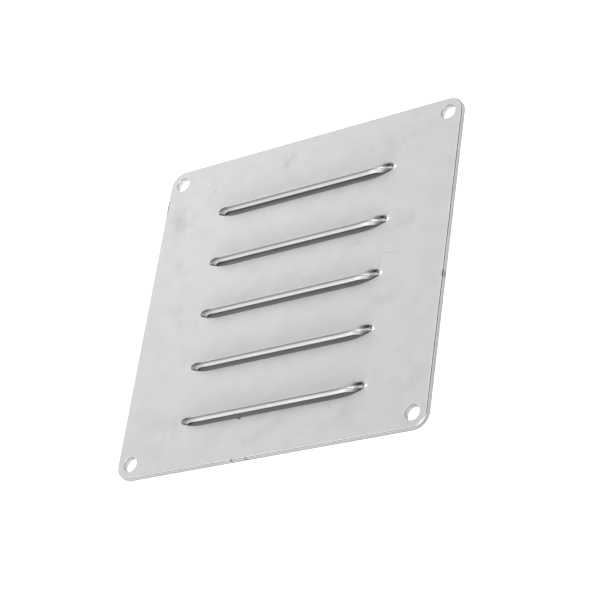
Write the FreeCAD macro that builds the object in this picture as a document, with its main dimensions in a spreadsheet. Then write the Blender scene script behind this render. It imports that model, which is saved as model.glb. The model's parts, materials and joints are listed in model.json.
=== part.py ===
"""Louvred vent plate: one pressed sheet with five lanced and formed louvres.

Millimetres. X runs along the louvres, Y up the plate, Z out of its face.
The origin is the centre of the back face. Every louvre opens towards -Y.
"""
import FreeCAD
import Part

import math
import os

import Sketcher
from FreeCAD import Vector

os.makedirs("parts", exist_ok=True)
doc = FreeCAD.newDocument("louvred_vent_plate")

# Driving dimensions, in millimetres except for the count
SIZES = [
    ("plate_width", 100.0),
    ("plate_height", 99.0),
    ("sheet_thickness", 1.5),
    ("corner_radius", 4.5),
    ("hole_diameter", 4.3),
    ("hole_inset", 4.4),
    ("louvre_count", 5),
    ("louvre_pitch", 16.6),
    ("louvre_length", 59.8),
    ("louvre_depth", 10.6),
    ("slit_middle", -3.8),
    ("slit_straight", 45.0),
    ("slit_end_radius", 17.0),
    ("shear_gap", 0.1),
    ("opening_height", 2.0),
    ("end_dome", 6.0),
    ("rim_roll", 0.5),
]
sheet = doc.addObject("Spreadsheet::Sheet", "sizes")
for row, (name, value) in enumerate(SIZES, start=1):
    sheet.set("A%d" % row, name)
    sheet.set("B%d" % row, str(value))
    sheet.setAlias("B%d" % row, name)
doc.recompute()


def size(name):
    """Value of one driving dimension."""
    return float(getattr(sheet, name))


def bind(sketch, index, name, formula):
    """Name a sketch dimension and tie it to the size table."""
    sketch.renameConstraint(index, name)
    sketch.setExpression("Constraints." + name, formula)


def sketch_on_back(body, label):
    """New sketch on the plane of the plate's back face."""
    sketch = body.newObject("Sketcher::SketchObject", label)
    plane = [f for f in body.Origin.OriginFeatures if f.Role == "XY_Plane"][0]
    sketch.AttachmentSupport = [(plane, "")]
    sketch.MapMode = "FlatFace"
    return sketch


def origin_axis(body, role):
    """One axis of the body's own origin."""
    return [f for f in body.Origin.OriginFeatures if f.Role == role][0]


# Flat plate: rounded square sheet
body = doc.addObject("PartDesign::Body", "flat_plate")
outline = sketch_on_back(body, "plate_outline")
half_w = size("plate_width") / 2
half_h = size("plate_height") / 2
corner_r = size("corner_radius")
in_w = half_w - corner_r
in_h = half_h - corner_r
corners = [(in_w, in_h, 0), (-in_w, in_h, 90), (-in_w, -in_h, 180), (in_w, -in_h, 270)]
for cx, cy, start in corners:
    circle = Part.Circle(Vector(cx, cy, 0), Vector(0, 0, 1), corner_r)
    arc = Part.ArcOfCircle(circle, math.radians(start), math.radians(start + 90))
    outline.addGeometry(arc, False)
sides = [
    (Vector(in_w, half_h, 0), Vector(-in_w, half_h, 0)),
    (Vector(-half_w, in_h, 0), Vector(-half_w, -in_h, 0)),
    (Vector(-in_w, -half_h, 0), Vector(in_w, -half_h, 0)),
    (Vector(half_w, -in_h, 0), Vector(half_w, in_h, 0)),
]
for start, end in sides:
    outline.addGeometry(Part.LineSegment(start, end), False)
for k in range(4):
    outline.addConstraint(Sketcher.Constraint("Tangent", k, 2, 4 + k, 1))
    outline.addConstraint(Sketcher.Constraint("Tangent", 4 + k, 2, (k + 1) % 4, 1))
for k in range(1, 4):
    outline.addConstraint(Sketcher.Constraint("Equal", 0, k))
outline.addConstraint(Sketcher.Constraint("Horizontal", 4))
outline.addConstraint(Sketcher.Constraint("Vertical", 5))
outline.addConstraint(Sketcher.Constraint("Symmetric", 4, 1, 6, 1, -1, 1))
bind(outline, outline.addConstraint(Sketcher.Constraint("Radius", 0, corner_r)),
     "corner", "sizes.corner_radius")
bind(outline, outline.addConstraint(Sketcher.Constraint("DistanceX", 5, 1, 7, 2, 2 * half_w)),
     "width", "sizes.plate_width")
bind(outline, outline.addConstraint(Sketcher.Constraint("DistanceY", 6, 1, 4, 2, 2 * half_h)),
     "height", "sizes.plate_height")
plate = body.newObject("PartDesign::Pad", "plate_pad")
plate.Profile = outline
plate.setExpression("Length", "sizes.sheet_thickness")

# Four screw holes, one near each corner
hole_x = half_w - size("hole_inset")
hole_y = half_h - size("hole_inset")
hole_r = size("hole_diameter") / 2
holes = sketch_on_back(body, "screw_holes")
for sx, sy in [(1, 1), (-1, 1), (-1, -1), (1, -1)]:
    centre = Vector(sx * hole_x, sy * hole_y, 0)
    holes.addGeometry(Part.Circle(centre, Vector(0, 0, 1), hole_r), False)
for k in range(1, 4):
    holes.addConstraint(Sketcher.Constraint("Equal", 0, k))
holes.addConstraint(Sketcher.Constraint("Symmetric", 0, 3, 2, 3, -1, 1))
holes.addConstraint(Sketcher.Constraint("Symmetric", 1, 3, 3, 3, -1, 1))
holes.addConstraint(Sketcher.Constraint("Horizontal", 0, 3, 1, 3))
bind(holes, holes.addConstraint(Sketcher.Constraint("Diameter", 0, 2 * hole_r)),
     "bore", "sizes.hole_diameter")
bind(holes, holes.addConstraint(Sketcher.Constraint("DistanceX", 1, 3, 0, 3, 2 * hole_x)),
     "across", "sizes.plate_width - 2 * sizes.hole_inset")
bind(holes, holes.addConstraint(Sketcher.Constraint("DistanceY", 3, 3, 0, 3, 2 * hole_y)),
     "along", "sizes.plate_height - 2 * sizes.hole_inset")
holes_cut = body.newObject("PartDesign::Pocket", "holes_pocket")
holes_cut.Profile = holes
holes_cut.Type = "ThroughAll"
holes_cut.Reversed = True

# Lanced windows: straight slit with both ends curving up, then the area that is formed
count = int(size("louvre_count"))
pitch = size("louvre_pitch")
half_l = size("louvre_length") / 2
depth = size("louvre_depth")
slit_half = size("slit_straight") / 2
slit_r = size("slit_end_radius")
sheet_t = size("sheet_thickness")
lowest = size("slit_middle") - pitch * (count - 1) / 2


def slit_rise(x):
    """How far the slit has curved up at a distance x from its middle."""
    past = max(0.0, abs(x) - slit_half)
    return slit_r - math.sqrt(slit_r ** 2 - past ** 2)


sweep = math.asin((half_l - slit_half) / slit_r)
end_rise = slit_rise(half_l)
window = sketch_on_back(body, "lanced_window")
up = Vector(0, 0, 1)
arc_y = lowest + slit_r
right_circle = Part.Circle(Vector(slit_half, arc_y, 0), up, slit_r)
left_circle = Part.Circle(Vector(-slit_half, arc_y, 0), up, slit_r)
down = -math.pi / 2
y_end = lowest + end_rise
y_back = lowest + depth
window.addGeometry([
    Part.LineSegment(Vector(-slit_half, lowest, 0), Vector(slit_half, lowest, 0)),
    Part.ArcOfCircle(right_circle, down, down + sweep),
    Part.LineSegment(Vector(half_l, y_end, 0), Vector(half_l, y_back, 0)),
    Part.LineSegment(Vector(half_l, y_back, 0), Vector(-half_l, y_back, 0)),
    Part.LineSegment(Vector(-half_l, y_back, 0), Vector(-half_l, y_end, 0)),
    Part.ArcOfCircle(left_circle, down - sweep, down),
], False)
window.addConstraint([
    Sketcher.Constraint("Tangent", 0, 2, 1, 1),
    Sketcher.Constraint("Coincident", 1, 2, 2, 1),
    Sketcher.Constraint("Coincident", 2, 2, 3, 1),
    Sketcher.Constraint("Coincident", 3, 2, 4, 1),
    Sketcher.Constraint("Coincident", 4, 2, 5, 1),
    Sketcher.Constraint("Tangent", 5, 2, 0, 1),
    Sketcher.Constraint("Horizontal", 0),
    Sketcher.Constraint("Vertical", 2),
    Sketcher.Constraint("Horizontal", 3),
    Sketcher.Constraint("Vertical", 4),
    Sketcher.Constraint("Equal", 1, 5),
    Sketcher.Constraint("Equal", 2, 4),
])
bind(window, window.addConstraint(Sketcher.Constraint("Radius", 1, slit_r)),
     "end_radius", "sizes.slit_end_radius")
bind(window, window.addConstraint(Sketcher.Constraint("DistanceX", 0, 1, 0, 2, 2 * slit_half)),
     "straight", "sizes.slit_straight")
bind(window, window.addConstraint(Sketcher.Constraint("DistanceX", 3, 2, 3, 1, 2 * half_l)),
     "length", "sizes.louvre_length")
bind(window, window.addConstraint(Sketcher.Constraint("DistanceX", -1, 1, 3, 1, half_l)),
     "side", "sizes.louvre_length / 2")
bind(window, window.addConstraint(Sketcher.Constraint("DistanceY", 0, 1, 3, 2, depth)),
     "depth", "sizes.louvre_depth")
bind(window, window.addConstraint(Sketcher.Constraint("DistanceY", 0, 1, -1, 1, -lowest)),
     "slit", "sizes.louvre_pitch * (sizes.louvre_count - 1) / 2 - sizes.slit_middle")
window_cut = body.newObject("PartDesign::Pocket", "window_pocket")
window_cut.Profile = window
window_cut.Type = "ThroughAll"
window_cut.Reversed = True
windows = body.newObject("PartDesign::LinearPattern", "window_row")
windows.Originals = [window_cut]
windows.Direction = (origin_axis(body, "Y_Axis"), [""])
windows.Mode = "Extent"
windows.setExpression("Length", "sizes.louvre_pitch * (sizes.louvre_count - 1)")
windows.Occurrences = count
windows.setExpression("Occurrences", "sizes.louvre_count")
body.Tip = windows
doc.recompute()

# Louvre hood: the sheet rolls up from its back edge to the rim in one arc.
# Both faces share the arc's centre, and the cut face stands square to the sheet.
# The straight stretch stops short of both the curved slit and the domed ends.
opening = size("opening_height")
dome = size("end_dome")
roll = size("rim_roll")
gap = size("shear_gap")
turn = 2 * math.atan((sheet_t + opening) / (depth - gap))
hidden_radius = (depth - gap) / math.sin(turn)
outer_radius = hidden_radius - sheet_t
outer_turn = turn - roll / outer_radius
dome_start = half_l - dome
LEAD_IN = 1.0
straight_end = min(slit_half, dome_start) - LEAD_IN

# How finely each end is shaped, how full its dome is at the rim, and how soon that fades behind it
COLUMNS = 7
ROWS = 6
FULLNESS = 0.85
RIM_HOLD = 4


def on_arc(radius, angle):
    """Point of the section: distance behind the slit, height above the face it left."""
    return depth - radius * math.sin(angle), radius * (1 - math.cos(angle))


def dome_shares(x, run):
    """Shares of the full height left at x: a firm dome along the rim, a soft swell behind it."""
    past = min(1.0, max(0.0, x - dome_start) / run)
    return (1 - past ** 2) ** FULLNESS, (1 + math.cos(math.pi * past)) / 2


def true_arc(radius, turned):
    """Control points of the arc from the back edge to the rim: distance, height, weight."""
    lean = math.cos(turned / 2)
    bend = depth - radius * math.tan(turned / 2)
    reach, height = on_arc(radius, turned)
    points = [Vector(depth, 0, 1), Vector(bend, 0, 1) * lean, Vector(reach, height, 1)]
    while len(points) <= ROWS:
        grade = len(points)
        between = [
            points[k - 1] * (k / grade) + points[k] * (1 - k / grade) for k in range(1, grade)
        ]
        points = points[:1] + between + points[-1:]
    return [(point.x / point.z, point.y / point.z, point.z) for point in points]


def arc_column(x, run, radius, turned, flat_run):
    """Control points of the arc, lowered to the dome at x."""
    firm, soft = dome_shares(x, run)
    column = []
    for k, (formed, height, _) in enumerate(true_arc(radius, turned)):
        share = soft + (firm - soft) * (k / ROWS) ** RIM_HOLD
        flat = depth - flat_run * k / ROWS
        column.append((flat + (formed - flat) * firm ** 2, share * height))
    return column


def corner_column(x):
    """Control points of the rolled corner between outer face and cut face, flat at the tips."""
    firm = dome_shares(x, dome)[0]
    reach, height = arc_column(x, dome, outer_radius, outer_turn, depth - gap - roll)[-1]
    slope = math.atan(firm * math.tan(outer_turn))
    ahead = Vector(-math.cos(slope), math.sin(slope), 0) * roll
    inward = Vector(-math.sin(slope), -math.cos(slope), 0) * roll * firm
    start = Vector(reach, height, 0)
    points = [start, start + ahead * (0.5 + 0.5 * firm), start + ahead + inward]
    return [(point.x, point.y) for point in points]


def column_stops(run, extra):
    """Distances from the middle at which one end of the hood is shaped."""
    stops = [straight_end + (dome_start - straight_end) * k / 3 for k in range(3)]
    angles = [math.pi / 2 * k / COLUMNS for k in range(COLUMNS + 1)]
    return stops + [dome_start + run * math.sin(angle) for angle in angles] + extra


def placed(x, column, base):
    """One column of points set on the curved slit, above a base height."""
    rise = slit_rise(x)
    return [Vector(x, reach + rise * (1 - reach / depth), base + height) for reach, height in column]


def surface_through(poles, weights):
    """Surface with one true arc across it and a smooth run along the louvre."""
    places = [column[0].x for column in poles]
    inner = [sum(places[k:k + 3]) / 3 for k in range(1, len(places) - 3)]
    knots = [places[0]] + inner + [places[-1]]
    times = [4] + [1] * len(inner) + [4]
    rows = len(weights)
    surface = Part.BSplineSurface()
    surface.buildFromPolesMultsKnots(
        poles, times, [rows, rows], knots, [0.0, 1.0], False, False, 3, rows - 1,
        [weights] * len(poles))
    return surface


inner_dome = dome - sheet_t
outer_columns = [
    placed(x, arc_column(x, dome, outer_radius, outer_turn, depth - gap - roll), sheet_t)
    for x in column_stops(dome, [])
]
corner_columns = [placed(x, corner_column(x), sheet_t) for x in column_stops(dome, [])]
hidden_columns = [
    placed(x, arc_column(x, inner_dome, hidden_radius, turn, depth - gap), 0.0)
    for x in column_stops(inner_dome, [half_l - sheet_t / 2, half_l])
]
outer = surface_through(outer_columns, [row[2] for row in true_arc(outer_radius, outer_turn)])
corner = surface_through(corner_columns, [1.0, math.sqrt(0.5), 1.0])
hidden = surface_through(hidden_columns, [row[2] for row in true_arc(hidden_radius, turn)])


def along_edge(surface, last):
    """Edge of a surface that runs along the louvre, at its back or at its front."""
    v0, v1 = surface.bounds()[2:]
    return surface.vIso(v1 if last else v0).toShape()


# One end of the hood, its mirror image, and the straight stretch between them
tip = [outer_columns[-1][0], outer_columns[-1][-1], corner_columns[-1][-1],
       hidden_columns[-1][-1], hidden_columns[-1][0]]
right = [surface.toShape() for surface in (outer, corner, hidden)]
right.append(Part.makeRuledSurface(along_edge(outer, False), along_edge(hidden, False)))
right.append(Part.makeRuledSurface(along_edge(corner, True), along_edge(hidden, True)))
right.append(Part.Face(Part.makePolygon(tip + tip[:1])))
left = [face.mirror(Vector(0, 0, 0), Vector(1, 0, 0)) for face in right]


def straight_arc(columns, halfway):
    """Arc across the straight stretch, through a point halfway along it."""
    ends = columns[0][0], columns[0][-1]
    middle = placed(straight_end, [halfway], ends[0].z)[0]
    return Part.Arc(ends[0], middle, ends[1]).toShape()


outer_mid = on_arc(outer_radius, outer_turn / 2)
hidden_mid = on_arc(hidden_radius, turn / 2)
start, peak, end = corner_columns[0]
corner_mid = (start + end + peak * math.sqrt(2)) * (1 / (2 + math.sqrt(2)))
profile = [
    straight_arc(outer_columns, outer_mid),
    Part.Arc(start, corner_mid, end).toShape(),
    Part.makeLine(end, hidden_columns[0][-1]),
    straight_arc(hidden_columns, hidden_mid),
    Part.makeLine(hidden_columns[0][0], outer_columns[0][0]),
]
across = Vector(-2 * straight_end, 0, 0)
middle = [edge.extrude(across) for edge in profile]
skin = Part.makeShell(right + left + middle)
skin.sewShape(1e-4)
hood = Part.makeSolid(skin)

# One formed louvre and its copies up the plate
louvre = doc.addObject("Part::Feature", "louvre")
louvre.Shape = hood
hoods = [louvre]
louvre.setExpression(
    "Placement.Base.y",
    "sizes.slit_middle - sizes.louvre_pitch * (sizes.louvre_count - 1) / 2",
)
for k in range(1, count):
    copy = doc.addObject("App::Link", "louvre_%d" % (k + 1))
    copy.LinkedObject = louvre
    copy.LinkTransform = True
    copy.setExpression("Placement.Base.y", "sizes.louvre_pitch * %d" % k)
    hoods.append(copy)

# The finished sheet, one solid
vent = doc.addObject("Part::MultiFuse", "vent_plate")
vent.Shapes = [body] + hoods
vent.Refine = False
doc.recompute()

for item in doc.Objects:
    state = [word for word in item.State if word in ("Invalid", "Error")]
    if state:
        raise SystemExit("%s is %s" % (item.Label, state))
for item in (body, louvre, vent):
    if item.Shape.isNull() or not item.Shape.isValid():
        raise SystemExit("%s has no sound shape" % item.Label)
if len(vent.Shape.Solids) != 1:
    raise SystemExit("the sheet fell into %d solids" % len(vent.Shape.Solids))
vent.Shape.exportStep("parts/vent_plate.step")
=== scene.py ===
"""Looks of the louvred vent plate: bare stainless sheet on a pale floor.

Metres, in the same frame as the solid: X along the louvres, Y up the plate,
Z out of its face, origin at the centre of the back face.
"""

import json
import logging
import math
from dataclasses import dataclass
from enum import Enum

import bpy
from mathutils import Matrix, Vector

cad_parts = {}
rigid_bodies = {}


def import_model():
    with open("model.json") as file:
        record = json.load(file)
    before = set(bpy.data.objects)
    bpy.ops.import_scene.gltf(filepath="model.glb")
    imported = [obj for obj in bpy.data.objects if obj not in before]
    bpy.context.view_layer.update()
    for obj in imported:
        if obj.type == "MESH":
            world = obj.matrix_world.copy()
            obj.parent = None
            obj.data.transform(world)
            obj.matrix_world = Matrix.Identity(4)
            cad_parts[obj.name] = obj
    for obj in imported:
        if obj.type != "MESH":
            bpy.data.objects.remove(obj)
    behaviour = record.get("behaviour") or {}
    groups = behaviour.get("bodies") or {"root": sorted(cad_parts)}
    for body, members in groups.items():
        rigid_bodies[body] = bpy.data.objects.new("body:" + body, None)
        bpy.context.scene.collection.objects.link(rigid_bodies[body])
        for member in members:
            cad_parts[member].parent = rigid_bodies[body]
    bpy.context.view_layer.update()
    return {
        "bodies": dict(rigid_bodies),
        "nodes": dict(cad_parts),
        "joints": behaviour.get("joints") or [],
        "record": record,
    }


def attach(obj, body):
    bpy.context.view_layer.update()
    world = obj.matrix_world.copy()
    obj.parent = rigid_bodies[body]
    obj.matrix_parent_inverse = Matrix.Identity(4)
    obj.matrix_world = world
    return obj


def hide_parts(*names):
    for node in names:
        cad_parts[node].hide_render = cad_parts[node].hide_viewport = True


logging.basicConfig(level=logging.INFO, format="%(message)s")
LOG = logging.getLogger("vent_plate")

MM = 0.001
SLIT_LINES = (-37.0, -20.4, -3.8, 12.8, 29.4)


@dataclass(frozen=True)
class Crest:
    """Line of a louvre's crest, as the solid has it.

    Attributes:
        half_length: half the louvre's length, in metres.
        dome_start: distance from the middle at which its end begins to fall, in metres.
        fullness: how full its rounded end is.
        foot: height at its tips, in metres.
        top: height along its middle, in metres.
    """

    half_length: float = 29.9 * MM
    dome_start: float = 23.9 * MM
    fullness: float = 0.85
    foot: float = 1.5 * MM
    top: float = 4.5 * MM


CREST = Crest()


class Surface(Enum):
    """The kinds of surface that the sheet shows."""

    ROLLED_FACE = 0
    CUT_EDGE = 1
    HOLE_WALL = 2
    LOUVRE_RIM = 3
    BACK_FACE = 4


def link(tree: bpy.types.NodeTree, source: bpy.types.NodeSocket, target: bpy.types.NodeSocket) -> None:
    """Joins two sockets of one node tree."""
    tree.links.new(source, target)


def group_tree(name: str, inputs: dict[str, float], outputs: tuple[str, ...]) -> bpy.types.NodeTree:
    """Makes an empty shader node group that follows a place on the sheet.

    Args:
        name: name of the group.
        inputs: each input socket and its usual value.
        outputs: each output socket.

    Returns:
        The group, with its input and output nodes in place.
    """
    tree = bpy.data.node_groups.new(name, "ShaderNodeTree")
    tree.interface.new_socket("Place", in_out="INPUT", socket_type="NodeSocketVector")
    for label, value in inputs.items():
        socket = tree.interface.new_socket(label, in_out="INPUT", socket_type="NodeSocketFloat")
        socket.default_value = value
    for label in outputs:
        tree.interface.new_socket(label, in_out="OUTPUT", socket_type="NodeSocketFloat")
    tree.nodes.new("NodeGroupInput")
    tree.nodes.new("NodeGroupOutput")
    return tree


def noise(tree: bpy.types.NodeTree, place: bpy.types.NodeSocket, scale: float, detail: float = 3.0,
          stretch: tuple[float, float, float] = (1.0, 1.0, 1.0)) -> bpy.types.NodeSocket:
    """Adds a noise pattern.

    Args:
        tree: node tree that gets it.
        place: coordinates it follows.
        scale: how many blotches there are in a metre.
        detail: how many finer layers it has.
        stretch: scale along each axis.

    Returns:
        The socket with the pattern's value, from 0 to 1.
    """
    mapping = tree.nodes.new("ShaderNodeMapping")
    mapping.inputs["Scale"].default_value = stretch
    link(tree, place, mapping.inputs["Vector"])
    pattern = tree.nodes.new("ShaderNodeTexNoise")
    pattern.inputs["Scale"].default_value = scale
    pattern.inputs["Detail"].default_value = detail
    link(tree, mapping.outputs["Vector"], pattern.inputs["Vector"])
    return pattern.outputs["Fac"]


def spread(tree: bpy.types.NodeTree, value: bpy.types.NodeSocket, low: float, high: float,
           to_low: float, to_high: float) -> bpy.types.NodeSocket:
    """Maps a value from one range to another, held at both ends.

    Args:
        tree: node tree that gets the map.
        value: the value to map.
        low: value that gives to_low.
        high: value that gives to_high.
        to_low: result at the low end.
        to_high: result at the high end.

    Returns:
        The socket with the result.
    """
    node = tree.nodes.new("ShaderNodeMapRange")
    for label, number in (("From Min", low), ("From Max", high), ("To Min", to_low), ("To Max", to_high)):
        node.inputs[label].default_value = number
    link(tree, value, node.inputs["Value"])
    return node.outputs["Result"]


def maths(tree: bpy.types.NodeTree, operation: str, first: bpy.types.NodeSocket,
          second: bpy.types.NodeSocket | float) -> bpy.types.NodeSocket:
    """Adds a math node.

    Args:
        tree: node tree that gets it.
        operation: what it does.
        first: first value.
        second: second value, another socket or a plain number.

    Returns:
        The socket with the result.
    """
    node = tree.nodes.new("ShaderNodeMath")
    node.operation = operation
    link(tree, first, node.inputs[0])
    if isinstance(second, float):
        node.inputs[1].default_value = second
    else:
        link(tree, second, node.inputs[1])
    return node.outputs["Value"]


def mix(tree: bpy.types.NodeTree, share: bpy.types.NodeSocket,
        first: bpy.types.NodeSocket | float, second: float) -> bpy.types.NodeSocket:
    """Mixes one grey into another.

    Args:
        tree: node tree that gets the mix.
        share: how much of the second grey there is.
        first: first grey, a socket or a plain number.
        second: second grey.

    Returns:
        The socket with the mixed colour.
    """
    node = tree.nodes.new("ShaderNodeMix")
    node.data_type = "RGBA"
    if isinstance(first, float):
        node.inputs["A"].default_value = (first, first, first, 1.0)
    else:
        link(tree, first, node.inputs["A"])
    node.inputs["B"].default_value = (second, second, second, 1.0)
    link(tree, share, node.inputs["Factor"])
    return node.outputs["Result"]


@dataclass(frozen=True)
class Spot:
    """One oval mark on the face.

    Attributes:
        place: its middle on the plate, in millimetres.
        reach: how far it spreads each way, in millimetres.
        weight: how plainly it shows, from 0 to 1.
        turn: how far it is turned, in radians.
        core: share of its reach that shows in full.
    """

    place: tuple[float, float]
    reach: tuple[float, float]
    weight: float
    turn: float = 0.0
    core: float = 0.15

    def share(self, tree: bpy.types.NodeTree, place: bpy.types.NodeSocket) -> bpy.types.NodeSocket:
        """Adds the mark to a node tree.

        Args:
            tree: node tree that gets it.
            place: coordinates on the plate.

        Returns:
            The socket with its weight, which fades out at its reach.
        """
        mapping = tree.nodes.new("ShaderNodeMapping")
        mapping.vector_type = "TEXTURE"
        mapping.inputs["Location"].default_value = (self.place[0] * MM, self.place[1] * MM, 0.0)
        mapping.inputs["Rotation"].default_value = (0.0, 0.0, self.turn)
        mapping.inputs["Scale"].default_value = (self.reach[0] * MM, self.reach[1] * MM, 1.0)
        link(tree, place, mapping.inputs["Vector"])
        away = tree.nodes.new("ShaderNodeVectorMath")
        away.operation = "LENGTH"
        link(tree, mapping.outputs["Vector"], away.inputs[0])
        return spread(tree, away.outputs["Value"], self.core, 1.0, self.weight, 0.0)


@dataclass(frozen=True)
class HandlingMarksAndTipShade:
    """Marks of handling on bare sheet, and the painted shade at the louvres' tips.

    Attributes:
        name: name of the shader node group.
        cloud_size: how many wide blotches of dirt there are in a metre.
        fine_size: how many fine ones there are in a metre.
        wide_range: the part of the wide pattern that goes from clean to dirty.
        fine_range: the part of the fine pattern that goes from thin to full.
        thin: how plainly dirt shows where the fine pattern is thin.
        all_over: how plainly dirt shows away from the smudges.
        smudges: where dirt is plainest.
        nicks: nicks, a burr on the lowest louvre and a faint scratch.
        painted_tip_shade: painted shade at the ends of the louvres' rims, left and right.
    """

    name: str = "handling_marks"
    cloud_size: float = 190.0
    fine_size: float = 420.0
    wide_range: tuple[float, float] = (0.40, 0.66)
    fine_range: tuple[float, float] = (0.30, 0.65)
    thin: float = 0.5
    all_over: float = 0.2
    smudges: tuple[Spot, ...] = (
        Spot((-43.2, 31.9), (6.0, 8.0), 0.60),
        Spot((-38.0, 18.0), (6.0, 6.0), 0.50),
        Spot((-40.4, -1.0), (6.0, 9.0), 0.45),
        Spot((-7.5, 42.6), (9.0, 6.0), 0.60),
        Spot((-24.0, 38.0), (8.0, 5.0), 0.35),
        Spot((-2.5, -41.0), (9.0, 7.0), 0.50),
        Spot((31.8, -9.6), (6.0, 6.0), 0.45),
        Spot((19.6, 9.0), (8.0, 5.0), 0.45),
        Spot((43.2, -32.4), (6.0, 8.0), 0.55),
        Spot((30.0, 40.0), (9.0, 6.0), 0.40),
        Spot((38.0, 12.0), (6.0, 8.0), 0.40),
        Spot((22.0, -42.0), (9.0, 5.0), 0.40),
        Spot((-36.0, -36.0), (9.0, 9.0), 0.45),
    )
    nicks: tuple[Spot, ...] = (
        Spot((-10.3, -49.3), (0.5, 0.4), 0.7, 0.0, 0.5),
        Spot((-5.6, -49.5), (0.5, 0.4), 0.7, 0.0, 0.5),
        Spot((-32.4, 39.4), (0.35, 0.35), 0.5, 0.0, 0.5),
        Spot((-9.8, -37.2), (0.7, 0.5), 0.9, 0.0, 0.5),
        Spot((-49.8, 38.0), (0.35, 3.0), 0.8, 0.0, 0.5),
        Spot((49.8, -6.0), (0.4, 1.6), 0.6, 0.0, 0.5),
        Spot((48.7, 48.2), (3.4, 0.5), 0.6, -0.79, 0.5),
        Spot((31.8, 4.2), (4.2, 0.22), 0.16, -0.15, 0.3),
    )
    # Painted shade: dark patches at the left and right ends of each louvre's rim.
    painted_tip_shade: tuple[Spot, ...] = (
        *(Spot((-26.8, line + 1.25), (3.4, 0.6), 0.85, -0.12, 0.4) for line in SLIT_LINES),
        *(Spot((28.0, line + 1.0), (2.0, 0.26), 0.8, 0.33, 0.5) for line in SLIT_LINES),
    )

    def build(self) -> bpy.types.NodeTree:
        """Makes the group once.

        Returns:
            The group: its Smudge and its Nick each run from 0 on clean sheet to 1; the latter holds the nicks and
                the painted shade at the louvres' tips.
        """
        if self.name in bpy.data.node_groups:
            return bpy.data.node_groups[self.name]
        tree = group_tree(self.name, {"Amount": 1.0, "Nicked": 1.0}, ("Smudge", "Nick"))
        inside = tree.nodes["Group Input"].outputs
        out = tree.nodes["Group Output"].inputs
        wide = spread(tree, noise(tree, inside["Place"], self.cloud_size, 5.0), *self.wide_range, 0.0, 1.0)
        fine = spread(tree, noise(tree, inside["Place"], self.fine_size, 4.0), *self.fine_range, self.thin, 1.0)
        clouds = maths(tree, "MULTIPLY", wide, fine)
        total = tree.nodes.new("ShaderNodeValue").outputs["Value"]
        total.default_value = self.all_over
        for smudge in self.smudges:
            total = maths(tree, "ADD", smudge.share(tree, inside["Place"]), total)
        dirt = maths(tree, "MULTIPLY", clouds, total)
        link(tree, maths(tree, "MULTIPLY", dirt, inside["Amount"]), out["Smudge"])
        # The nicks and the painted shade at the louvre tips go into one mask.
        dents_and_tip_shade = self.nicks[0].share(tree, inside["Place"])
        for nick in self.nicks[1:] + self.painted_tip_shade:
            dents_and_tip_shade = maths(tree, "ADD", nick.share(tree, inside["Place"]), dents_and_tip_shade)
        link(tree, maths(tree, "MULTIPLY", dents_and_tip_shade, inside["Nicked"]), out["Nick"])
        return tree


@dataclass(frozen=True)
class RolledSheet:
    """Grain of cold-rolled sheet: very fine lines along the rolling direction and a pebbled skin.

    Attributes:
        name: name of the shader node group.
        line_size: how many rolling lines there are in a metre.
        line_stretch: scale of the lines along each axis, long along X.
        pebble_size: how many pebbles there are in a metre.
    """

    name: str = "rolled_grain"
    line_size: float = 2600.0
    line_stretch: tuple[float, float, float] = (0.02, 1.0, 1.0)
    pebble_size: float = 5200.0

    def build(self) -> bpy.types.NodeTree:
        """Makes the group once.

        Returns:
            The group: its Grain is a height from 0 to 1.
        """
        if self.name in bpy.data.node_groups:
            return bpy.data.node_groups[self.name]
        tree = group_tree(self.name, {"Amount": 0.5}, ("Grain",))
        inside = tree.nodes["Group Input"].outputs
        out = tree.nodes["Group Output"].inputs
        lines = noise(tree, inside["Place"], self.line_size, 2.0, self.line_stretch)
        pebbles = noise(tree, inside["Place"], self.pebble_size, 2.0)
        link(tree, maths(tree, "MULTIPLY", maths(tree, "ADD", lines, pebbles), inside["Amount"]), out["Grain"])
        return tree


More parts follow.
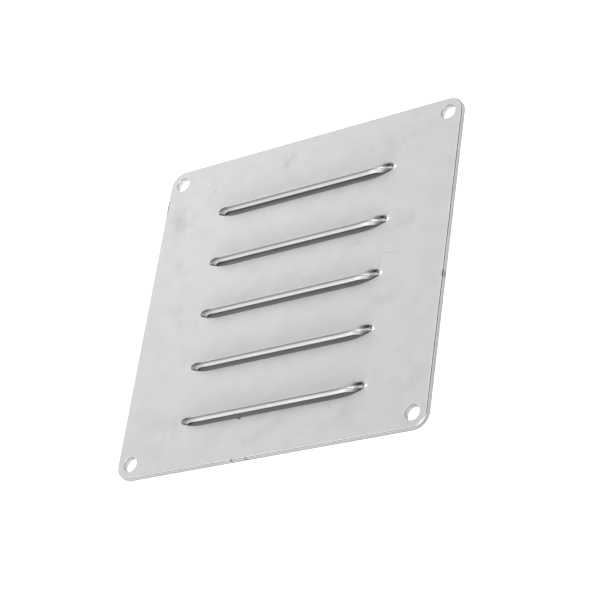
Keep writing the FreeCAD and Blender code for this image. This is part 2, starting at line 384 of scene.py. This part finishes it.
@dataclass(frozen=True)
class StainlessFinish:
    """Bare stainless sheet.

    Attributes:
        surface: which surface of the sheet it is for.
        grey: reflectance of clean metal; on louvre rims and hole walls it is set lighter than the face, as
            painted highlight.
        upper_shade_grey: reflectance of the upper part of a louvre's rim and of a hole's wall, painted dark as
            painted shade.
        dull_grey: reflectance where it is smudged.
        nick_and_tip_shade_grey: reflectance in a nick and in the painted shade at the louvres' tips.
        roughness: roughness of clean metal.
        grain_depth: depth of the grain, in metres.
        marks: how strongly smudges show.
        nicked: how strongly nicks and the painted shade at the louvres' tips show.
        upper_shade_depth: how far below a louvre's crest the painted shade begins, in metres.
        upper_shade_full: how far below the crest the painted shade is full, in metres.
        smudge_roughness: what a smudge adds to the roughness.
        rubbed: roughness where the louvre tool has rubbed the sheet.
        rubbings: where it has, at the right end of each louvre.
    """

    surface: Surface
    grey: float
    upper_shade_grey: float
    dull_grey: float
    nick_and_tip_shade_grey: float
    roughness: float
    grain_depth: float
    marks: float
    nicked: float = 1.0
    upper_shade_depth: float = 0.6 * MM
    upper_shade_full: float = 0.1 * MM
    smudge_roughness: float = 0.05
    rubbed: float = 0.2
    rubbings: tuple[Spot, ...] = ()

    def build(self) -> bpy.types.Material:
        """Makes the material.

        Returns:
            The material, on Object coordinates.
        """
        material = bpy.data.materials.new("stainless_" + self.surface.name.lower())
        material.use_nodes = True
        tree = material.node_tree
        shader = tree.nodes["Principled BSDF"]
        shader.inputs["Metallic"].default_value = 1.0
        place = tree.nodes.new("ShaderNodeTexCoord").outputs["Object"]
        marks = self.group(tree, place, HandlingMarksAndTipShade().build())
        marks.inputs["Amount"].default_value = self.marks
        marks.inputs["Nicked"].default_value = self.nicked
        # Painted shade: near the crest height, louvre rims and hole walls take the darker upper_shade_grey.
        upper_shade = spread(tree, self.below_crest(tree, place), self.upper_shade_depth, self.upper_shade_full, 0.0, 1.0)
        metal = mix(tree, upper_shade, self.grey, self.upper_shade_grey)
        smudged = mix(tree, marks.outputs["Smudge"], metal, self.dull_grey)
        # The nicks are real marks; the louvre tips in the same mask are painted shade.
        link(tree, mix(tree, marks.outputs["Nick"], smudged, self.nick_and_tip_shade_grey), shader.inputs["Base Color"])
        rough = spread(tree, marks.outputs["Smudge"], 0.0, 1.0, self.roughness,
                       self.roughness + self.smudge_roughness)
        for rubbing in self.rubbings:
            change = spread(tree, rubbing.share(tree, place), 0.0, 1.0, 0.0, self.roughness - self.rubbed)
            rough = maths(tree, "SUBTRACT", rough, change)
        link(tree, rough, shader.inputs["Roughness"])
        grain = self.group(tree, place, RolledSheet().build())
        bump = tree.nodes.new("ShaderNodeBump")
        bump.inputs["Distance"].default_value = self.grain_depth
        link(tree, grain.outputs["Grain"], bump.inputs["Height"])
        link(tree, bump.outputs["Normal"], shader.inputs["Normal"])
        return material

    @staticmethod
    def below_crest(tree: bpy.types.NodeTree, place: bpy.types.NodeSocket) -> bpy.types.NodeSocket:
        """Measures how far a place lies below the crest of its louvre.

        Args:
            tree: node tree that gets it.
            place: coordinates on the sheet.

        Returns:
            The socket with the depth, in metres.
        """
        split = tree.nodes.new("ShaderNodeSeparateXYZ")
        link(tree, place, split.inputs[0])
        along = maths(tree, "ABSOLUTE", split.outputs["X"], 0.0)
        past = spread(tree, along, CREST.dome_start, CREST.half_length, 0.0, 1.0)
        fullness = maths(tree, "POWER", past, 2.0)
        left = spread(tree, fullness, 0.0, 1.0, 1.0, 0.0)
        share = maths(tree, "POWER", left, CREST.fullness)
        crest = spread(tree, share, 0.0, 1.0, CREST.foot, CREST.top)
        return maths(tree, "SUBTRACT", crest, split.outputs["Z"])

    @staticmethod
    def group(tree: bpy.types.NodeTree, place: bpy.types.NodeSocket, inner: bpy.types.NodeTree) -> bpy.types.Node:
        """Adds a shader node group that follows a place on the sheet.

        Args:
            tree: node tree that gets it.
            place: coordinates on the sheet.
            inner: the group.

        Returns:
            The node of the group.
        """
        node = tree.nodes.new("ShaderNodeGroup")
        node.node_tree = inner
        link(tree, place, node.inputs["Place"])
        return node


@dataclass
class VentPlate:
    """The pressed sheet: the solid's own shape, merged and with its edges broken.

    Attributes:
        node: name of the solid it stands for.
        edge_break: how far the die has drawn over the front outline, in metres.
        fine_break: share of that on every other sharp edge.
        far_break: share of that on the upper and left outline, which look keener.
        lip_break: share of that on the lower lips of the louvres, which stay keen.
        merge_reach: points nearer to each other than this are one, in metres.
        flat_angle: facets that meet at less than this are one flat face.
        edge_angle: edges sharper than this are broken.
        smooth_angle: faces that meet at less than this are shaded as one.
        outline_band: how far in from the plate's size its outline reaches, at the round corners.
        corner_share: share of the way out from which a place is in a corner, where the holes are.
        rim_height: cut faces higher than this belong to louvres.
        upright: a face whose normal rises or falls less than this is a cut face.
        rim_facing: a louvre's rim faces down the plate by at least this.
        flat_facing: the normal of the flat front rises by at least this.
        hood_facing: the normal of a hood's inner face falls by at least this.
        finishes: the finish of each kind of surface, in the order of their numbers.
    """

    node: str = "vent_plate"
    edge_break: float = 0.34 * MM
    fine_break: float = 0.3
    far_break: float = 0.35
    lip_break: float = 0.06
    merge_reach: float = 0.001 * MM
    flat_angle: float = math.radians(0.05)
    edge_angle: float = math.radians(40.0)
    smooth_angle: float = math.radians(35.0)
    outline_band: float = 1.6 * MM
    corner_share: float = 0.8
    rim_height: float = 1.6 * MM
    upright: float = 0.05
    rim_facing: float = 0.08
    flat_facing: float = 0.99
    hood_facing: float = 0.3
    finishes: tuple[StainlessFinish, ...] = (
        StainlessFinish(Surface.ROLLED_FACE, 0.75, 0.75, 0.64, 0.20, 0.88, 0.000002, 1.0, rubbings=tuple(
            Spot((place, line + behind), reach, 1.0, turn, 0.35)
            for line in SLIT_LINES
            for place, behind, reach, turn in ((28.4, 2.5, (2.2, 1.1), 0.2), (30.2, 2.1, (0.75, 0.65), 0.0)))),
        StainlessFinish(Surface.CUT_EDGE, 0.72, 0.72, 0.50, 0.20, 0.20, 0.000004, 0.7),
        # Hole walls and louvre rims are painted lighter than the face as painted highlight, with painted shade on
        # their upper part.
        StainlessFinish(Surface.HOLE_WALL, 0.92, 0.28, 0.56, 0.20, 0.40, 0.000004, 0.7),
        StainlessFinish(Surface.LOUVRE_RIM, 0.86, 0.42, 0.50, 0.20, 0.30, 0.000004, 0.8),
        StainlessFinish(Surface.BACK_FACE, 0.75, 0.75, 0.64, 0.20, 0.88, 0.000002, 1.0, 0.0),
    )

    def build(self, frame: dict) -> bpy.types.Object:
        """Copies the solid's mesh, merges it, dresses it and breaks its edges.


        Returns:
            The finished piece, in place of the solid.
        """
        solid = frame["nodes"][self.node]
        bpy.ops.object.select_all(action="DESELECT")
        piece = bpy.data.objects.new("pressed_sheet", solid.data.copy())
        bpy.context.scene.collection.objects.link(piece)
        bpy.context.view_layer.objects.active = piece
        piece.select_set(True)
        bpy.ops.object.mode_set(mode="EDIT")
        bpy.ops.mesh.select_all(action="SELECT")
        bpy.ops.mesh.customdata_custom_splitnormals_clear()
        bpy.ops.mesh.remove_doubles(threshold=self.merge_reach)
        bpy.ops.mesh.dissolve_limited(angle_limit=self.flat_angle)
        bpy.ops.object.mode_set(mode="OBJECT")
        self.dress(piece)
        self.weigh_edges(piece.data)
        self.break_edges(piece)
        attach(piece, "root")
        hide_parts(self.node)
        LOG.info("pressed sheet: %d faces", len(piece.data.polygons))
        return piece

    def dress(self, piece: bpy.types.Object) -> None:
        """Gives each face its finish.

        Args:
            piece: the sheet.
        """
        piece.data.materials.clear()
        for finish in self.finishes:
            piece.data.materials.append(finish.build())
        outline = self.outline(piece.data)
        for polygon in piece.data.polygons:
            polygon.material_index = self.surface_of(polygon, outline).value

    def outline(self, mesh: bpy.types.Mesh) -> tuple[float, float]:
        """Finds how far out a place must lie to be on the plate's outline.

        Args:
            mesh: the sheet's mesh.

        Returns:
            The distance from the middle, each way.
        """
        reach = [max(abs(vertex.co[axis]) for vertex in mesh.vertices) for axis in (0, 1)]
        return reach[0] - self.outline_band, reach[1] - self.outline_band

    def surface_of(self, polygon: bpy.types.MeshPolygon, outline: tuple[float, float]) -> Surface:
        """Tells what kind of surface a face of the sheet belongs to.

        Args:
            polygon: the face.
            outline: how far out the plate's outline lies, each way.

        Returns:
            The kind of surface.
        """
        normal, centre = polygon.normal, polygon.center
        if centre.z > self.rim_height and normal.z > -self.upright and normal.y < -self.rim_facing:
            return Surface.LOUVRE_RIM
        if abs(normal.z) > self.upright:
            return Surface.ROLLED_FACE if normal.z > 0.0 else Surface.BACK_FACE
        outer = abs(centre.x) > outline[0] or abs(centre.y) > outline[1]
        corner = all(abs(centre[axis]) > self.corner_share * outline[axis] for axis in (0, 1))
        return Surface.HOLE_WALL if corner and not outer else Surface.CUT_EDGE

    def weigh_edges(self, mesh: bpy.types.Mesh) -> None:
        """Weighs each sharp edge: most along the front outline, lightly elsewhere.

        Args:
            mesh: the sheet's mesh.
        """
        sides: dict[tuple[int, int], list[Vector]] = {}
        for polygon in mesh.polygons:
            for key in polygon.edge_keys:
                sides.setdefault(key, []).append(polygon.normal.copy())
        outline = self.outline(mesh)
        weight = mesh.attributes.new("bevel_weight_edge", "FLOAT", "EDGE")
        for edge in mesh.edges:
            normals = sorted(sides[edge.key], key=lambda normal: normal.z)
            if len(normals) != 2 or normals[0].angle(normals[1]) < self.edge_angle:
                continue
            ends = [mesh.vertices[index].co for index in edge.vertices]
            outer = all(abs(end.x) > outline[0] or abs(end.y) > outline[1] for end in ends)
            if outer and normals[1].z > self.flat_facing:
                near = min(1.0, max(0.0, (1.0 + normals[0].x - normals[0].y) / 2.0))
                share = self.far_break + (1.0 - self.far_break) * near
            elif normals[0].z < -self.hood_facing and ends[0].z > self.rim_height:
                share = self.lip_break
            else:
                share = self.fine_break
            weight.data[edge.index].value = share

    def break_edges(self, piece: bpy.types.Object) -> None:
        """Rounds the weighed edges and shades the flat faces flat.

        Args:
            piece: the sheet.
        """
        bevel = piece.modifiers.new("edge_break", "BEVEL")
        bevel.width = self.edge_break
        bevel.segments = 3
        bevel.limit_method = "WEIGHT"
        bevel.material = Surface.CUT_EDGE.value
        bevel.use_clamp_overlap = False
        bpy.ops.object.modifier_apply(modifier=bevel.name)
        bpy.ops.object.shade_smooth_by_angle(angle=self.smooth_angle)
        flat = piece.modifiers.new("flat_faces", "WEIGHTED_NORMAL")
        flat.weight = 100
        flat.keep_sharp = True
        bpy.ops.object.modifier_apply(modifier=flat.name)


@dataclass(frozen=True)
class Screen:
    """A soft screen of the studio, bright or, below nothing, a dark card.

    Attributes:
        towards: direction in which it stands.
        core: half its angle at full strength, in degrees.
        fade: half its angle where it has faded out, in degrees.
        strength: how bright it is.
    """

    towards: tuple[float, float, float]
    core: float
    fade: float
    strength: float

    def glow(self, tree: bpy.types.NodeTree, place: bpy.types.NodeSocket) -> bpy.types.NodeSocket:
        """Adds the screen to the world.

        Args:
            tree: node tree of the world.
            place: direction that is looked in.

        Returns:
            The socket with its light.
        """
        facing = tree.nodes.new("ShaderNodeVectorMath")
        facing.operation = "DOT_PRODUCT"
        facing.inputs[1].default_value = Vector(self.towards).normalized()
        link(tree, place, facing.inputs[0])
        glow = tree.nodes.new("ShaderNodeMapRange")
        glow.interpolation_type = "SMOOTHSTEP"
        glow.inputs["From Min"].default_value = math.cos(math.radians(self.fade))
        glow.inputs["From Max"].default_value = math.cos(math.radians(self.core))
        glow.inputs["To Max"].default_value = self.strength
        link(tree, facing.outputs["Value"], glow.inputs["Value"])
        return glow.outputs["Result"]


@dataclass
class Floor:
    """Pale floor under the sheet, with the dark recess that the vent covers.

    Attributes:
        width: its width, in metres.
        below: how far it lies under the sheet, in metres.
        grey: its reflectance.
        shade_patch_grey: its reflectance in the patch under the louvres, painted dark as painted shade.
        shade_patch_half: half the painted dark patch each way, in metres.
        glow: what it adds to the picture to stand as a white ground.
    """

    width: float = 6.0
    below: float = 0.1 * MM
    grey: float = 0.6
    shade_patch_grey: float = 0.26
    shade_patch_half: tuple[float, float] = (0.036, 0.040)
    glow: float = 0.8

    def build(self) -> None:
        """Lays the floor."""
        bpy.ops.mesh.primitive_plane_add(size=self.width, location=(0.0, 0.0, -self.below))
        ground = bpy.context.object
        ground.name = "floor"
        material = bpy.data.materials.new("pale_floor")
        material.use_nodes = True
        tree = material.node_tree
        shader = tree.nodes["Principled BSDF"]
        shader.inputs["Roughness"].default_value = 0.9
        shader.inputs["Specular IOR Level"].default_value = 0.1
        shader.inputs["Emission Color"].default_value = (1.0, 1.0, 1.0, 1.0)
        # Painted shade: under the louvres the floor is dark and gets no glow, so their openings look dark.
        clear = self.clear(tree)
        link(tree, spread(tree, clear, 0.0, 1.0, self.shade_patch_grey, self.grey), shader.inputs["Base Color"])
        seen = tree.nodes.new("ShaderNodeLightPath").outputs["Is Camera Ray"]
        glow = maths(tree, "MULTIPLY", maths(tree, "MULTIPLY", seen, clear), self.glow)
        link(tree, glow, shader.inputs["Emission Strength"])
        ground.data.materials.append(material)

    def clear(self, tree: bpy.types.NodeTree) -> bpy.types.NodeSocket:
        """Marks the floor that lies outside the patch painted dark as painted shade.

        Args:
            tree: node tree of the floor's material.

        Returns:
            The socket, 1 on the open floor and 0 in the painted dark patch.
        """
        place = tree.nodes.new("ShaderNodeTexCoord").outputs["Object"]
        split = tree.nodes.new("ShaderNodeSeparateXYZ")
        link(tree, place, split.inputs[0])
        beyond = []
        for axis, reach in zip("XY", self.shade_patch_half):
            away = maths(tree, "ABSOLUTE", split.outputs[axis], 0.0)
            beyond.append(maths(tree, "GREATER_THAN", away, reach))
        return maths(tree, "MAXIMUM", beyond[0], beyond[1])


@dataclass
class Studio:
    """Soft lights and the camera at the photograph's angle.

    Attributes:
        lens: focal length for a 36 mm sensor, in millimetres.
        eye: where the camera stands.
        look: which way it looks.
        up: which way is up in its picture.
        lamp_place: where the soft lamp over the floor hangs.
        lamp_width: its width, in metres.
        lamp_power: its power, in watts.
        spot_place: where the front spot stands.
        spot_aim: what it is aimed at, the plate's upper left part.
        spot_angle: how wide its cone is, in radians.
        spot_radius: how soft it is, in metres.
        spot_power: its power, in watts.
        room: light of the room in every direction.
        screens: the screens round the plate.
    """

    lens: float = 123.35
    eye: tuple[float, float, float] = (0.317497, -0.273515, 0.380295)
    look: tuple[float, float, float] = (-0.55666, 0.47836, -0.67919)
    up: tuple[float, float, float] = (0.18413, 0.86829, 0.46062)
    lamp_place: tuple[float, float, float] = (-0.5, 0.6, 1.2)
    lamp_width: float = 1.2
    lamp_power: float = 14.0
    spot_place: tuple[float, float, float] = (0.35, -0.45, 0.85)
    spot_aim: tuple[float, float, float] = (-0.06, 0.06, 0.0)
    spot_angle: float = math.radians(16.0)
    spot_radius: float = 0.12
    spot_power: float = 34.0
    room: float = 0.3
    screens: tuple[Screen, ...] = (
        Screen((-0.60, 0.52, 0.61), 14.0, 34.0, 2.0),
        Screen((-0.35, -0.93, 0.02), 14.0, 36.0, 1.0),
        Screen((0.56, -0.60, 0.57), 24.0, 50.0, 1.42),
        Screen((0.25, 0.80, 0.55), 18.0, 34.0, -0.26),
    )

    def camera(self) -> None:
        """Sets the camera."""
        bpy.ops.object.camera_add()
        eye = bpy.context.object
        eye.name = "camera"
        eye.data.lens = self.lens
        eye.data.sensor_width = 36.0
        eye.data.clip_start = 0.01
        look = Vector(self.look).normalized()
        right = look.cross(Vector(self.up)).normalized()
        turn = Matrix((right, right.cross(look), -look)).transposed().to_4x4()
        turn.translation = Vector(self.eye)
        eye.matrix_world = turn
        bpy.context.scene.camera = eye

    @staticmethod
    def light(kind: str, name: str, place: tuple[float, float, float], aim: tuple[float, float, float],
              power: float) -> bpy.types.Object:
        """Sets up one lamp.

        Args:
            kind: kind of lamp.
            name: its name.
            place: where it stands.
            aim: what it points at.
            power: its power, in watts.

        Returns:
            The lamp.
        """
        bpy.ops.object.light_add(type=kind, location=place)
        lamp = bpy.context.object
        lamp.name = name
        lamp.data.energy = power
        lamp.rotation_euler = (Vector(aim) - Vector(place)).to_track_quat("-Z", "Y").to_euler()
        return lamp

    def lamps(self) -> None:
        """Sets the soft lamp that lights the floor, and the front spot."""
        soft = self.light("AREA", "soft_lamp", self.lamp_place, (0.0, 0.0, 0.0), self.lamp_power)
        soft.data.size = self.lamp_width
        soft.visible_glossy = False
        front = self.light("SPOT", "front_spot", self.spot_place, self.spot_aim, self.spot_power)
        front.data.spot_size = self.spot_angle
        front.data.spot_blend = 1.0
        front.data.shadow_soft_size = self.spot_radius

    def sky(self) -> None:
        """Sets the light of the room and its screens."""
        world = bpy.data.worlds.new("studio")
        bpy.context.scene.world = world
        world.use_nodes = True
        tree = world.node_tree
        background = tree.nodes["Background"]
        background.inputs["Color"].default_value = (1.0, 1.0, 1.0, 1.0)
        place = tree.nodes.new("ShaderNodeTexCoord").outputs["Generated"]
        total = tree.nodes.new("ShaderNodeValue").outputs["Value"]
        total.default_value = self.room
        for screen in self.screens:
            total = maths(tree, "ADD", screen.glow(tree, place), total)
        link(tree, total, background.inputs["Strength"])

    def build(self) -> None:
        """Sets the whole stage."""
        self.camera()
        self.lamps()
        self.sky()
        Floor().build()
        LOG.info("studio: camera, lights and floor")


def main() -> None:
    """Loads the frame, builds and dresses the part, and sets the stage."""
    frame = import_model()
    VentPlate().build(frame)
    Studio().build()
    bpy.context.scene.view_settings.view_transform = "Standard"


if __name__ == "__main__":
    main()
